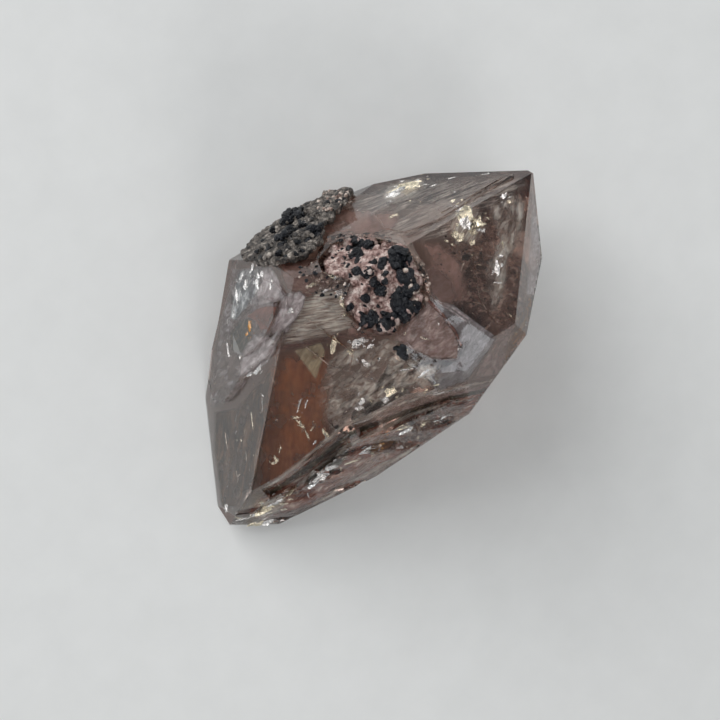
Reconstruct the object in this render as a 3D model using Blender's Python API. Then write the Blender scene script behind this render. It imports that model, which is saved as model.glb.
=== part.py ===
"""A doubly terminated quartz crystal with a drusy crust on one shoulder and a crusted pocket in front.

The crystal is a block cut by its crystal faces. Each face is named by its family, its turn about the
long axis and its distance in millimetres from a seed point inside the crystal. Outlines of ledges,
growth plates and crusts are points of the photograph, thrown onto the face that carries them.
World frame: long axis along X, the front prism face looks up, the back prism face rests on Z = 0.
"""
import math
import random

import bmesh
import bpy
from mathutils import Matrix, Vector

MM = 0.001

# How the photograph sees the crystal: 12 pixels to a millimetre at the seed point
PIXELS_PER_MM = 12.0
SEED_PX = (375.0, 345.0)
CAMERA_MM = 140.0
AXIS_ROLL_DEG = 54.0
FRONT_TURN_DEG = 3.5

# Angle between the long axis and the normal of a tip face of quartz
TIP_FACE_DEG = 51.79

# Crystal faces: family, turn about the long axis in degrees, distance from the seed in mm.
# Family 0 is the prism, +1 the tip at upper right in the photograph, -1 the tip at lower left.
FACES = {
    "front": (0, 0, 8.0),
    "front_right": (0, 60, 9.8),
    "back_right": (0, 120, 8.8),
    "rest": (0, 180, 13.4),
    "back_left": (0, -120, 14.4),
    "tip_front": (1, 0, 9.85),
    "tip_right": (1, 60, 12.6),
    "tip_back_right": (1, 120, 15.3),
    "tip_back": (1, 180, 15.1),
    "tip_back_left": (1, -120, 15.4),
    "tip_top": (1, -60, 9.4),
    "window": (-1, 0, 6.1),
    "low_left": (-1, -60, 8.8),
    "low_back_left": (-1, -120, 19.3),
}

# Broken faces: the face they start from, two photograph points on it in clockwise order round the
# outline, and how far the face leans toward the viewer in degrees
BREAKS = (
    ("bottom_break", "window", (440, 386), (252, 491), 36),
    ("under_break", "bottom_break", (488, 401), (356, 490), -25),
    ("belly_break", "bottom_break", (345, 498), (300, 522), -25),
    ("toe_break", "bottom_break", (300, 524), (234, 525), -30),
    ("shoulder", "tip_top", (246, 279), (343, 207), 22),
    ("heel_chip", "front_right", (528, 335), (521, 350), 30),
    ("tip_chip", "tip_top", (528, 171), (533, 174), 20),
)

# Raised growth plates: the face they lie on, their outline, the photograph points of their low and
# high side and the height in mm at each
PLATES = (
    ("front", ((427, 299), (437, 306), (447, 319), (457, 331), (461, 345), (458, 360), (444, 362),
               (430, 360), (412, 351), (398, 335), (402, 312), (414, 300)),
     (395, 320), (462, 348), 0.06, 0.42),
    ("low_left", ((222, 312), (232, 284), (246, 276), (262, 276), (280, 284), (288, 296), (287, 318),
                  (280, 340), (271, 357), (258, 366), (246, 377), (238, 391), (228, 403), (218, 400),
                  (213, 380), (215, 350)), (240, 290), (250, 385), 0.18, 0.55),
    ("low_left", ((238, 334), (248, 316), (262, 302), (274, 296), (284, 300), (284, 316), (275, 334),
                  (262, 350), (248, 358), (238, 350)), (240, 350), (280, 300), 0.55, 0.85),
    ("tip_top", ((372, 214), (420, 188), (470, 178), (516, 176), (470, 203), (438, 222), (404, 234),
                 (384, 230)), (380, 225), (500, 180), 0.10, 0.24),
    ("tip_top", ((430, 203), (470, 188), (505, 180), (466, 203), (440, 216)),
     (432, 206), (500, 184), 0.22, 0.38),
    ("tip_front", ((470, 250), (500, 222), (516, 214), (512, 262), (506, 312), (492, 322), (478, 300)),
     (474, 280), (512, 240), 0.08, 0.22),
    ("window", ((292, 332), (300, 343), (330, 366), (352, 372), (356, 352), (330, 333), (306, 316)),
     (300, 330), (350, 370), 0.10, 0.26),
)
PLATE_BEVEL_MM = 0.22
PLATE_ROOT_MM = 1.2

# Steps in the bottom break: outline, and the depth of the floor in mm under the first half of the
# outline's points and under the rest
LEDGES = (
    (((436, 384), (466, 374), (512, 370), (516, 384), (492, 396), (462, 402), (440, 398)), 0.9, 0.35),
    (((352, 424), (398, 402), (440, 392), (452, 402), (420, 418), (384, 434), (360, 440)), 0.5, 0.9),
    (((262, 490), (292, 476), (330, 442), (348, 434), (352, 446), (326, 468), (296, 494), (270, 500)),
     0.4, 0.8),
)

LEDGE_HEADROOM_MM = 2.5

# Scallops broken out of the bottom: photograph point, long and short radius and depth in mm, turn
SCALLOPS = (
    ((322, 477), 2.6, 0.9, 0.9, 45),
    ((384, 446), 1.7, 0.9, 0.8, 30),
    ((352, 452), 2.9, 0.8, 0.6, 38),
    ((296, 497), 2.3, 1.2, 0.5, 40),
    ((256, 510), 2.4, 0.6, 0.5, 25),
    ((432, 424), 2.3, 1.1, 0.5, 32),
    ((474, 400), 2.6, 0.5, 0.5, 24),
    ((406, 446), 1.4, 0.9, 0.6, 20),
    ((348, 486), 1.9, 0.6, 0.6, 45),
    ((276, 520), 1.7, 0.5, 0.4, 12),
)

SCALLOP_LIFT = 0.25

# The pocket in the front and the crust on the shoulder: outlines in the photograph, then the
# pocket's depth, each crust's gap to the quartz and its top, measured outward from the faces, in mm
POCKET_PX = ((316, 258), (330, 240), (348, 233), (370, 233), (388, 238), (406, 244), (416, 258),
             (423, 276), (427, 294), (424, 308), (410, 320), (396, 332), (382, 334), (362, 327),
             (347, 316), (343, 300), (352, 286), (340, 276), (322, 272))
POCKET_DEPTH_MM = 1.5
CRUST_GAP_MM = 0.3
CORE_MARGIN_MM = 0.4
CRUST_CLEARANCE_MM = 3.5
SIGHT_REACH_MM = 8.0
POCKET_CRUST_TOP_MM = -0.55
SHOULDER_PX = ((239, 259), (254, 238), (272, 214), (294, 196), (316, 186), (338, 182), (356, 190),
               (346, 207), (327, 224), (320, 242), (303, 256), (284, 262), (262, 265), (246, 262))
SHOULDER_CRUST_MM = 0.7

# Lumps that give each crust its body, and its dark grains: photograph point and radius in mm
SHOULDER_LUMPS = (
    ((297, 219), 1.55), ((283, 236), 1.35), ((306, 236), 1.25), ((268, 249), 1.05), ((312, 216), 1.15),
    ((291, 252), 0.95), ((327, 207), 0.95), ((341, 200), 0.75), ((255, 257), 0.70), ((286, 219), 1.10),
)
POCKET_LUMPS = (
    ((366, 247), 0.80), ((398, 262), 1.15), ((406, 284), 1.20), ((404, 305), 1.10), ((384, 322), 1.00),
    ((415, 272), 0.70), ((380, 300), 0.90), ((356, 300), 0.80), ((372, 276), 0.75), ((345, 256), 0.60),
)
SMALL_LUMPS = 34
POCKET_GRAINS = (
    ((360, 244), 0.55), ((371, 243), 0.55), ((357, 256), 0.62), ((366, 236), 0.35), ((397, 256), 0.95),
    ((405, 265), 0.55), ((392, 263), 0.60), ((404, 279), 0.80), ((409, 288), 0.85), ((402, 294), 0.60),
    ((399, 304), 0.75), ((412, 306), 0.60), ((405, 314), 0.60), ((417, 299), 0.40), ((393, 318), 0.50),
    ((384, 325), 0.65), ((374, 319), 0.60), ((366, 321), 0.45), ((390, 330), 0.40), ((367, 271), 0.42),
    ((374, 283), 0.38), ((383, 290), 0.38), ((350, 305), 0.36), ((364, 299), 0.34), ((360, 312), 0.30),
    ((381, 263), 0.34), ((372, 262), 0.30), ((387, 275), 0.28), ((331, 268), 0.36), ((348, 268), 0.32),
    ((341, 262), 0.26), ((322, 266), 0.28), ((385, 241), 0.28), ((350, 249), 0.30), ((383, 281), 0.24),
    ((378, 250), 0.24), ((356, 271), 0.28), ((396, 246), 0.34),
)
SHOULDER_GRAINS = (
    ((314, 231), 0.62), ((308, 238), 0.45), ((283, 240), 0.60), ((291, 232), 0.42), ((279, 253), 0.50),
    ((303, 251), 0.42), ((296, 218), 0.75), ((287, 224), 0.55), ((306, 214), 0.55), ((271, 246), 0.45),
    ((263, 251), 0.36), ((318, 216), 0.42), ((328, 205), 0.42), ((338, 200), 0.36), ((333, 211), 0.28),
    ((268, 258), 0.30), ((292, 256), 0.30), ((255, 259), 0.30), ((300, 228), 0.34), ((320, 239), 0.28),
    ((312, 222), 0.34), ((277, 231), 0.36), ((345, 197), 0.24), ((297, 243), 0.28), ((322, 227), 0.26),
)
GRAIN_SEED = 11
LUMP_SINK = 0.55
GRAIN_LIFT_MM = 0.12

QUARTZ_IOR = 1.544
QUARTZ_RGBA = (0.80, 0.72, 0.69, 1.0)
POCKET_RGBA = (0.34, 0.26, 0.24, 1.0)
SHOULDER_RGBA = (0.13, 0.12, 0.12, 1.0)

TIP_COS = math.cos(math.radians(TIP_FACE_DEG))
TIP_SIN = math.sin(math.radians(TIP_FACE_DEG))
LONG_AXIS = Vector((1.0, 0.0, 0.0))
TURN = math.radians(FRONT_TURN_DEG)
ROLL = math.radians(AXIS_ROLL_DEG)
TO_VIEWER = Vector((0.0, math.sin(TURN), math.cos(TURN)))
SIDE = Vector((0.0, -math.cos(TURN), math.sin(TURN)))
PHOTO_RIGHT = math.cos(ROLL) * LONG_AXIS + math.sin(ROLL) * SIDE
PHOTO_UP = math.sin(ROLL) * LONG_AXIS - math.cos(ROLL) * SIDE


def clear_scene():
    """Remove every object of the open scene."""
    for old in list(bpy.data.objects):
        bpy.data.objects.remove(old, do_unlink=True)


def crystal_plane(family, turn_deg, distance):
    """The outward normal and the distance of one crystal face."""
    turn = math.radians(turn_deg)
    radial = Vector((0.0, -math.sin(turn), math.cos(turn)))
    if family == 0:
        return radial, distance
    return TIP_SIN * radial + family * TIP_COS * LONG_AXIS, distance


def onto_plane(pixel, plane):
    """The point where the line of sight through a photograph pixel meets a plane."""
    across = (pixel[0] - SEED_PX[0]) / PIXELS_PER_MM
    down = (pixel[1] - SEED_PX[1]) / PIXELS_PER_MM
    eye = CAMERA_MM * TO_VIEWER
    sight = across * PHOTO_RIGHT - down * PHOTO_UP - eye
    normal, distance = plane
    return eye + sight * ((distance - normal.dot(eye)) / normal.dot(sight))


def leaning_plane(first, second, lean_deg):
    """The plane through two points that looks outward and leans toward the viewer by an angle."""
    along = (second - first).normalized()
    outward = TO_VIEWER.cross(along).normalized()
    toward = along.cross(outward)
    if toward.dot(TO_VIEWER) < 0:
        toward = -toward
    lean = math.radians(lean_deg)
    normal = (math.cos(lean) * outward + math.sin(lean) * toward).normalized()
    return normal, normal.dot(first)


def all_planes():
    """Every crystal face and broken face by name."""
    planes = {name: crystal_plane(*spec) for name, spec in FACES.items()}
    for name, start, first, second, lean in BREAKS:
        carrier = planes[start]
        planes[name] = leaning_plane(onto_plane(first, carrier), onto_plane(second, carrier), lean)
    return planes


def cut_block(planes, grow=0.0, changed=None):
    """A convex solid bounded by the planes, each moved out by grow or by its own entry in changed."""
    changed = changed or {}
    bm = bmesh.new()
    bmesh.ops.create_cube(bm, size=90.0)
    for name, (normal, distance) in planes.items():
        reach = distance + changed.get(name, grow)
        geometry = bm.verts[:] + bm.edges[:] + bm.faces[:]
        cut = bmesh.ops.bisect_plane(bm, geom=geometry, dist=1e-5, plane_co=normal * reach,
                                     plane_no=normal, clear_outer=True)
        rim = [item for item in cut["geom_cut"] if isinstance(item, bmesh.types.BMEdge)]
        if rim:
            bmesh.ops.contextual_create(bm, geom=rim)
    bmesh.ops.remove_doubles(bm, verts=bm.verts[:], dist=1e-3)
    bmesh.ops.recalc_face_normals(bm, faces=bm.faces[:])
    return bm


def add_object(name, bm):
    """Turn a bmesh in millimetres into an object and return it."""
    mesh = bpy.data.meshes.new(name)
    bm.to_mesh(mesh)
    bm.free()
    made = bpy.data.objects.new(name, mesh)
    bpy.context.collection.objects.link(made)
    return made


def apply_boolean(target, cutter, operation):
    """Join, cut or intersect the target with the cutter and remove the cutter."""
    modifier = target.modifiers.new("boolean", "BOOLEAN")
    modifier.operation = operation
    modifier.solver = "EXACT"
    modifier.object = cutter
    evaluated = target.evaluated_get(bpy.context.evaluated_depsgraph_get())
    result = bpy.data.meshes.new_from_object(evaluated)
    target.modifiers.clear()
    old = target.data
    target.data = result
    bpy.data.meshes.remove(old)
    bpy.data.objects.remove(cutter, do_unlink=True)


def loft(name, lower, upper):
    """A closed solid between two outlines with the same number of points."""
    bm = bmesh.new()
    low = [bm.verts.new(point) for point in lower]
    high = [bm.verts.new(point) for point in upper]
    bm.faces.new(low[::-1])
    bm.faces.new(high)
    count = len(low)
    for i in range(count):
        after = (i + 1) % count
        bm.faces.new((low[i], low[after], high[after], high[i]))
    bmesh.ops.recalc_face_normals(bm, faces=bm.faces[:])
    return add_object(name, bm)


def sight_prism(name, outline, plane, inset=0.0, reach=SIGHT_REACH_MM):
    """A prism along the lines of sight through an outline, drawn in by inset millimetres."""
    points = [onto_plane(pixel, plane) for pixel in outline]
    centre = sum(points, Vector()) / len(points)
    drawn = [point + (centre - point).normalized() * inset for point in points]
    back = [point - reach * TO_VIEWER for point in drawn]
    return loft(name, back, [point + reach * TO_VIEWER for point in drawn])


def growth_plate(plane, outline, low_px, high_px, low_mm, high_mm):
    """A low raised plate whose top climbs from its low side to its high side."""
    normal = plane[0]
    low, high = onto_plane(low_px, plane), onto_plane(high_px, plane)
    climb = (high - low) / (high - low).length_squared
    points = [onto_plane(pixel, plane) for pixel in outline]
    centre = sum(points, Vector()) / len(points)
    top = []
    for point in points:
        share = min(1.0, max(0.0, (point - low).dot(climb)))
        drawn = point + (centre - point).normalized() * PLATE_BEVEL_MM
        top.append(drawn + normal * (low_mm + share * (high_mm - low_mm)))
    return loft("plate", [point - normal * PLATE_ROOT_MM for point in points], top)


def ledge_cutter(plane, outline, first_depth, second_depth):
    """A wedge that cuts a step with an uneven floor into a broken face."""
    normal = plane[0]
    points = [onto_plane(pixel, plane) for pixel in outline]
    half = len(points) / 2
    floor = []
    for i, point in enumerate(points):
        depth = first_depth if i < half else second_depth
        floor.append(point - normal * depth)
    return loft("ledge", floor, [point + normal * LEDGE_HEADROOM_MM for point in points])


def scallop_cutter(plane, pixel, long_mm, short_mm, depth_mm, turn_deg):
    """A flattened ball that leaves a shell-shaped break."""
    normal = plane[0]
    turn = math.radians(turn_deg)
    along = math.cos(turn) * PHOTO_RIGHT + math.sin(turn) * PHOTO_UP
    along = (along - normal * along.dot(normal)).normalized()
    across = normal.cross(along)
    bm = bmesh.new()
    bmesh.ops.create_icosphere(bm, subdivisions=2, radius=1.0)
    turned = Matrix((along, across, normal)).transposed().to_4x4()
    scale = Matrix.Diagonal((long_mm, short_mm, depth_mm, 1.0))
    place = Matrix.Translation(onto_plane(pixel, plane) + normal * depth_mm * SCALLOP_LIFT)
    bmesh.ops.transform(bm, matrix=place @ turned @ scale, verts=bm.verts[:])
    return add_object("scallop", bm)


def surface_point(pixel, planes, lift):
    """The point and normal where a line of sight first meets the convex solid grown by lift."""
    eye = CAMERA_MM * TO_VIEWER
    best = None
    for normal, distance in planes.values():
        if normal.dot(eye) <= distance + lift:
            continue
        point = onto_plane(pixel, (normal, distance + lift))
        depth = (point - eye).length
        if best is None or depth > best[0]:
            best = (depth, point, normal)
    return best[1], best[2]


def grain(rng, centre, radius):
    """One blocky dark grain: a jittered low ball."""
    bm = bmesh.new()
    bmesh.ops.create_icosphere(bm, subdivisions=1, radius=radius)
    for vert in bm.verts:
        vert.co *= rng.uniform(0.82, 1.12)
    angle = rng.uniform(0, math.tau)
    spin = Matrix.Rotation(angle, 4, Vector((rng.uniform(-1, 1), rng.uniform(-1, 1), 1.0)))
    stretch = (rng.uniform(0.85, 1.15), rng.uniform(0.85, 1.1), rng.uniform(0.8, 1.0), 1.0)
    squash = Matrix.Diagonal(stretch)
    bmesh.ops.transform(bm, matrix=Matrix.Translation(centre) @ spin @ squash, verts=bm.verts[:])
    return add_object("grain", bm)


def inside(pixel, outline):
    """True where a pixel lies inside an outline."""
    crossings = 0
    for (x0, y0), (x1, y1) in zip(outline, outline[1:] + outline[:1]):
        if (y0 > pixel[1]) != (y1 > pixel[1]) and pixel[0] < x0 + (pixel[1] - y0) * (x1 - x0) / (y1 - y0):
            crossings += 1
    return crossings % 2 == 1


def scattered(rng, outline, count):
    """Seeded places and sizes for the small lumps of a crust."""
    xs = [x for x, _ in outline]
    ys = [y for _, y in outline]
    places = []
    while len(places) < count:
        pixel = (rng.uniform(min(xs), max(xs)), rng.uniform(min(ys), max(ys)))
        if inside(pixel, outline):
            places.append((pixel, rng.uniform(0.35, 0.62)))
    return places


def keep_largest(made):
    """Delete crumbs that touch nothing, so the crust is one body."""
    bm = bmesh.new()
    bm.from_mesh(made.data)
    left = set(bm.verts)
    largest = []
    while left:
        body = [left.pop()]
        for vert in body:
            for edge in vert.link_edges:
                other = edge.other_vert(vert)
                if other in left:
                    left.remove(other)
                    body.append(other)
        if len(body) > len(largest):
            largest = body
    keep = set(largest)
    bmesh.ops.delete(bm, geom=[vert for vert in bm.verts if vert not in keep], context="VERTS")
    bm.to_mesh(made.data)
    bm.free()


def crust(name, outline, start, planes, floor_mm, top_mm, lumps, grains):
    """A slab that follows the crystal's surface inside an outline, with lumps and grains fused on."""
    rng = random.Random(GRAIN_SEED)
    slab = sight_prism(name, outline, start, inset=CRUST_GAP_MM + CORE_MARGIN_MM)
    top = cut_block(planes, grow=top_mm, changed={"rest": -CRUST_CLEARANCE_MM})
    apply_boolean(slab, add_object("top", top), "INTERSECT")
    core_floor = add_object("floor", cut_block(planes, grow=floor_mm - CORE_MARGIN_MM))
    apply_boolean(slab, core_floor, "DIFFERENCE")
    for pixel, radius in lumps + tuple(scattered(rng, outline, SMALL_LUMPS)):
        point, normal = surface_point(pixel, planes, top_mm)
        apply_boolean(slab, grain(rng, point - normal * radius * LUMP_SINK, radius), "UNION")
    for pixel, radius in grains:
        point, normal = surface_point(pixel, planes, top_mm)
        apply_boolean(slab, grain(rng, point + normal * GRAIN_LIFT_MM, radius), "UNION")
    reach = SIGHT_REACH_MM + CORE_MARGIN_MM
    apply_boolean(slab, sight_prism("mould", outline, start, CRUST_GAP_MM, reach), "INTERSECT")
    apply_boolean(slab, add_object("floor", cut_block(planes, grow=floor_mm)), "DIFFERENCE")
    keep_largest(slab)
    return slab


def build_crystal(planes):
    """The quartz crystal with its growth plates, broken bottom and pocket."""
    crystal = add_object("quartz_crystal", cut_block(planes))
    for face, outline, low_px, high_px, low_mm, high_mm in PLATES:
        plate = growth_plate(planes[face], outline, low_px, high_px, low_mm, high_mm)
        apply_boolean(crystal, plate, "UNION")
    bottom = planes["bottom_break"]
    for outline, near, far in LEDGES:
        apply_boolean(crystal, ledge_cutter(bottom, outline, near, far), "DIFFERENCE")
    for pixel, long_mm, short_mm, depth_mm, turn in SCALLOPS:
        scallop = scallop_cutter(bottom, pixel, long_mm, short_mm, depth_mm, turn)
        apply_boolean(crystal, scallop, "DIFFERENCE")
    pocket = sight_prism("pocket", POCKET_PX, planes["front"])
    apply_boolean(pocket, add_object("floor", cut_block(planes, grow=-POCKET_DEPTH_MM)), "DIFFERENCE")
    apply_boolean(crystal, pocket, "DIFFERENCE")
    return crystal


def give_material(made, rgba, roughness, transmission):
    """One Principled material with the piece's colour."""
    material = bpy.data.materials.new(made.name)
    material.use_nodes = True
    shader = material.node_tree.nodes["Principled BSDF"]
    shader.inputs["Base Color"].default_value = rgba
    shader.inputs["Roughness"].default_value = roughness
    shader.inputs["Transmission Weight"].default_value = transmission
    shader.inputs["IOR"].default_value = QUARTZ_IOR
    material.diffuse_color = rgba
    made.data.materials.clear()
    made.data.materials.append(material)


def tidy_mesh(made):
    """Merge stray points and triangulate, so the solid stays closed and flat-sided."""
    bm = bmesh.new()
    bm.from_mesh(made.data)
    bmesh.ops.remove_doubles(bm, verts=bm.verts[:], dist=2e-3)
    bmesh.ops.dissolve_degenerate(bm, dist=2e-3, edges=bm.edges[:])
    bmesh.ops.triangulate(bm, faces=bm.faces[:])
    bmesh.ops.recalc_face_normals(bm, faces=bm.faces[:])
    bm.to_mesh(made.data)
    bm.free()


def seat_on_ground(pieces):
    """Bring millimetres to metres, stand the rest face on Z = 0 and centre the box on the origin."""
    rest_height = FACES["rest"][2]
    xs = [vert.co.x for piece in pieces for vert in piece.data.vertices]
    ys = [vert.co.y for piece in pieces for vert in piece.data.vertices]
    shift = Vector((-(min(xs) + max(xs)) / 2, -(min(ys) + max(ys)) / 2, rest_height))
    to_metres = Matrix.Scale(MM, 4) @ Matrix.Translation(shift)
    for piece in pieces:
        piece.data.transform(to_metres)


def main():
    clear_scene()
    planes = all_planes()
    crystal = build_crystal(planes)
    pocket_crust = crust("pocket_crust", POCKET_PX, planes["front"], planes,
                         CRUST_GAP_MM - POCKET_DEPTH_MM, POCKET_CRUST_TOP_MM, POCKET_LUMPS, POCKET_GRAINS)
    shoulder_crust = crust("shoulder_crust", SHOULDER_PX, planes["shoulder"], planes,
                           CRUST_GAP_MM, SHOULDER_CRUST_MM, SHOULDER_LUMPS, SHOULDER_GRAINS)
    pieces = (crystal, pocket_crust, shoulder_crust)
    for piece in pieces:
        tidy_mesh(piece)
    seat_on_ground(pieces)
    give_material(crystal, QUARTZ_RGBA, 0.03, 1.0)
    give_material(pocket_crust, POCKET_RGBA, 0.5, 0.0)
    give_material(shoulder_crust, SHOULDER_RGBA, 0.45, 0.0)


main()
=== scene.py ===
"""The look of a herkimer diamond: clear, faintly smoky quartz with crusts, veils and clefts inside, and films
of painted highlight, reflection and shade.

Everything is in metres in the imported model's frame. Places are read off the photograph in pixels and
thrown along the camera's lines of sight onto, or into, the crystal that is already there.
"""
import math
import random

import bmesh
import bpy
from mathutils import Matrix, Vector, noise
from mathutils.bvhtree import BVHTree


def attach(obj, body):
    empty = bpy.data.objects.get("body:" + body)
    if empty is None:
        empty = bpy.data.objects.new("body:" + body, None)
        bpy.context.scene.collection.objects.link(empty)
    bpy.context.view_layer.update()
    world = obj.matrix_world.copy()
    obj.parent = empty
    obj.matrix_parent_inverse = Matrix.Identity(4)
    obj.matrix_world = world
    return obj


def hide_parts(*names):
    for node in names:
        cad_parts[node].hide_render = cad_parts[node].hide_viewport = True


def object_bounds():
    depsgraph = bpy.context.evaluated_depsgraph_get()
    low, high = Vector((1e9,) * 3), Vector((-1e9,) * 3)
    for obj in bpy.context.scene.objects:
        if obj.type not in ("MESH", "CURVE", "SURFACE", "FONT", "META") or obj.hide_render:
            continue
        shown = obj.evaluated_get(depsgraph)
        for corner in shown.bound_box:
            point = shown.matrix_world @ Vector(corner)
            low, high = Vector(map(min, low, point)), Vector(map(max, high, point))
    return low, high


MM = 0.001
QUARTZ_IOR = 1.544
# What the quartz lets through of red, green and blue, and how fast it absorbs the rest, per metre
QUARTZ_TINT = (0.68, 0.44, 0.32, 1.0)
QUARTZ_DENSITY = 57.0
# A line of sight into the quartz starts this far inside, and nothing lies deeper than this share of it
START_IN_MM = 0.05
DEEPEST = 0.8
# Edges worn round, and the bend between faces from which an edge is worn
WORN_EDGE_MM = 0.05
WORN_FROM_DEG = 9
# How near points are welded and how flat faces are joined when a CAD mesh is cleaned
WELD_M = 2e-6
FLAT_DEG = 0.4

# The camera that took the photograph, as the part's source has it
PIXELS_PER_MM = 12.0
SEED_PX = (375.0, 345.0)
CAMERA_MM = 140.0
AXIS_ROLL_DEG = 54.0
FRONT_TURN_DEG = 3.5
SEED = Vector((0.00048, -0.00239, 0.0134))
IMAGE_PX = 720
SENSOR_MM = 36.0
# How far inside the CAD model's box the grains and clefts stay
BOX_MARGIN_MM = 0.01
# Air under the crystal, so its resting face isn't in the floor's own plane
FLOOR_GAP_MM = 0.05
FLOOR_HALF_M = 1.2

ROLL = math.radians(AXIS_ROLL_DEG)
TURN = math.radians(FRONT_TURN_DEG)
LONG_AXIS = Vector((1.0, 0.0, 0.0))
TO_VIEWER = Vector((0.0, math.sin(TURN), math.cos(TURN)))
SIDE = Vector((0.0, -math.cos(TURN), math.sin(TURN)))
PHOTO_RIGHT = math.cos(ROLL) * LONG_AXIS + math.sin(ROLL) * SIDE
PHOTO_UP = math.sin(ROLL) * LONG_AXIS - math.cos(ROLL) * SIDE
EYE = SEED + TO_VIEWER * CAMERA_MM * MM
# The way the long broken band faces
BREAK_SIDE = (-0.45, -0.70, 0.55)

# Lights: a window at upper left, a fainter fill at lower right, and a panel that the front face mirrors.
# Directions or places, distances and sizes in metres, power in watts
WINDOW_SIDE = (-0.75 * PHOTO_RIGHT + 0.75 * PHOTO_UP + 0.9 * TO_VIEWER).normalized()
WINDOW_AWAY = 0.6
WINDOW_SIZE = (0.5, 0.5)
WINDOW_POWER = 2.35
FILL_SIDE = Vector((-0.42, -0.66, 0.62)).normalized()
FILL_AWAY = 0.5
FILL_SIZE = (0.18, 0.18)
FILL_POWER = 0.42
FILL_COLOUR = (1.0, 0.98, 0.96)
PANEL_PLACE = Vector((0.015, -0.082, 0.5))
PANEL_SIZE = (0.14, 0.07)
PANEL_POWER = 0.10
PANEL_COLOUR = (0.90, 0.95, 1.0)
ROOM_COLOUR = (0.97, 0.99, 1.0, 1.0)
ROOM_STRENGTH = 0.35
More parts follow.
